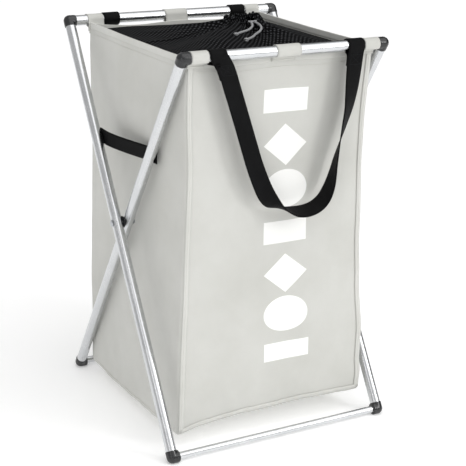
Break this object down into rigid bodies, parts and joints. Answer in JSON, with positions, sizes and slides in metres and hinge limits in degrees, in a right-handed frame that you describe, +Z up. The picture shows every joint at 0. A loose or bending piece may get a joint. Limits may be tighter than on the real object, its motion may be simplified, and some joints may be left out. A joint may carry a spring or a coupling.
{
  "type": "laundry hamper",
  "caption": "Free-standing folding laundry hamper: a cloth bag hung between two crossed tube frames, with webbing carry handles and a drawstring mesh top.",
  "frame": {"origin": "on the floor under the middle of the hamper", "axes": "+Z up, X along the rails, -Y the printed front"},
  "size_m": [0.4456, 0.46, 0.7044],
  "materials": {
    "tube_aluminium": "satin anodised",
    "corner_plastic": "moulded black",
    "spacer_plastic": "moulded black",
    "rivet_steel": "bright plated",
    "bag_cloth": "coated polyester weave",
    "rim_tape": "folded polyester tape",
    "mesh_cloth": "knitted mesh",
    "drawstring_cord": "braided cord",
    "webbing": "woven webbing"
  },
  "bodies": {
    "pivots": {"pivot_rivet_left": "rivet_steel", "pivot_rivet_right": "rivet_steel", "pivot_spacer_left": "spacer_plastic", "pivot_spacer_right": "spacer_plastic"},
    "outer_frame": {"outer_leg_left": "tube_aluminium", "outer_leg_right": "tube_aluminium", "back_top_rail": "tube_aluminium", "front_foot_rail": "tube_aluminium", "back_top_corner_left": "corner_plastic", "back_top_corner_right": "corner_plastic", "front_foot_corner_left": "corner_plastic", "front_foot_corner_right": "corner_plastic", "strap_rivets_outer_legs": "rivet_steel"},
    "inner_frame": {"inner_leg_left": "tube_aluminium", "inner_leg_right": "tube_aluminium", "front_top_rail": "tube_aluminium", "back_foot_rail": "tube_aluminium", "front_top_corner_left": "corner_plastic", "front_top_corner_right": "corner_plastic", "back_foot_corner_left": "corner_plastic", "back_foot_corner_right": "corner_plastic", "strap_rivets_inner_legs": "rivet_steel"},
    "front_loops": {"front_sleeve_left": "bag_cloth", "front_sleeve_right": "bag_cloth", "front_centre_tab": "bag_cloth"},
    "back_loops": {"back_sleeve_left": "bag_cloth", "back_sleeve_right": "bag_cloth", "back_centre_tab": "bag_cloth"},
    "bag": {"bag_front_panel": "bag_cloth", "bag_back_panel": "bag_cloth", "bag_left_panel": "bag_cloth", "bag_right_panel": "bag_cloth", "bag_base": "bag_cloth", "bag_rim_binding": "rim_tape", "mesh_top": "mesh_cloth", "mesh_mouth_casing": "mesh_cloth", "drawstring_loop": "drawstring_cord", "drawstring_end_left": "drawstring_cord", "drawstring_end_right": "drawstring_cord", "drawstring_knot_left": "drawstring_cord", "drawstring_knot_right": "drawstring_cord"},
    "limit_straps": {"limit_strap_left": "webbing", "limit_strap_right": "webbing"},
    "front_handle": {"front_handle": "webbing"},
    "back_handle": {"back_handle": "webbing"}
  },
  "joints": [
    {"name": "frame_fold", "type": "hinge", "parent": "pivots", "child": "outer_frame", "pos_m": [0, 0, 0.36289], "axis": [1, 0, 0], "range_deg": [0, 29.29], "deforming": ["bag_front_panel", "bag_back_panel", "bag_left_panel", "bag_right_panel", "bag_base", "bag_rim_binding", "mesh_top", "mesh_mouth_casing", "drawstring_loop", "drawstring_end_left", "drawstring_end_right", "drawstring_knot_left", "drawstring_knot_right", "limit_strap_left", "limit_strap_right"]},
    {"name": "inner_frame_fold", "type": "hinge", "parent": "pivots", "child": "inner_frame", "pos_m": [0, 0, 0.36289], "axis": [-1, 0, 0], "range_deg": [0, 29.3]},
    {"name": "front_loops_turn", "type": "hinge", "parent": "inner_frame", "child": "front_loops", "pos_m": [0, -0.2, 0.6847], "axis": [1, 0, 0], "range_deg": [0, 29.3]},
    {"name": "back_loops_turn", "type": "hinge", "parent": "outer_frame", "child": "back_loops", "pos_m": [0, 0.2, 0.6847], "axis": [-1, 0, 0], "range_deg": [0, 29.3]},
    {"name": "bag_rise", "type": "slide", "parent": "pivots", "child": "bag", "axis": [0, 0, 1], "range_m": [0, 0.0569]},
    {"name": "strap_rise", "type": "slide", "parent": "pivots", "child": "limit_straps", "axis": [0, 0, 1], "range_m": [0, 0.02436]},
    {"name": "front_handle_swing", "type": "hinge", "parent": "front_loops", "child": "front_handle", "pos_m": [0, -0.2, 0.6847], "axis": [-1, 0, 0], "range_deg": [0, 175]},
    {"name": "back_handle_swing", "type": "hinge", "parent": "back_loops", "child": "back_handle", "pos_m": [0, 0.2, 0.6847], "axis": [1, 0, 0], "range_deg": [0, 175]}
  ],
  "couplings": [
    {"joint": "inner_frame_fold", "follows": "frame_fold", "ratio": 1},
    {"joint": "front_loops_turn", "follows": "frame_fold", "ratio": 1},
    {"joint": "back_loops_turn", "follows": "frame_fold", "ratio": 1},
    {"joint": "bag_rise", "follows": "frame_fold", "m_per_rad": 0.11092},
    {"joint": "strap_rise", "follows": "frame_fold", "m_per_rad": 0.047259}
  ]
}
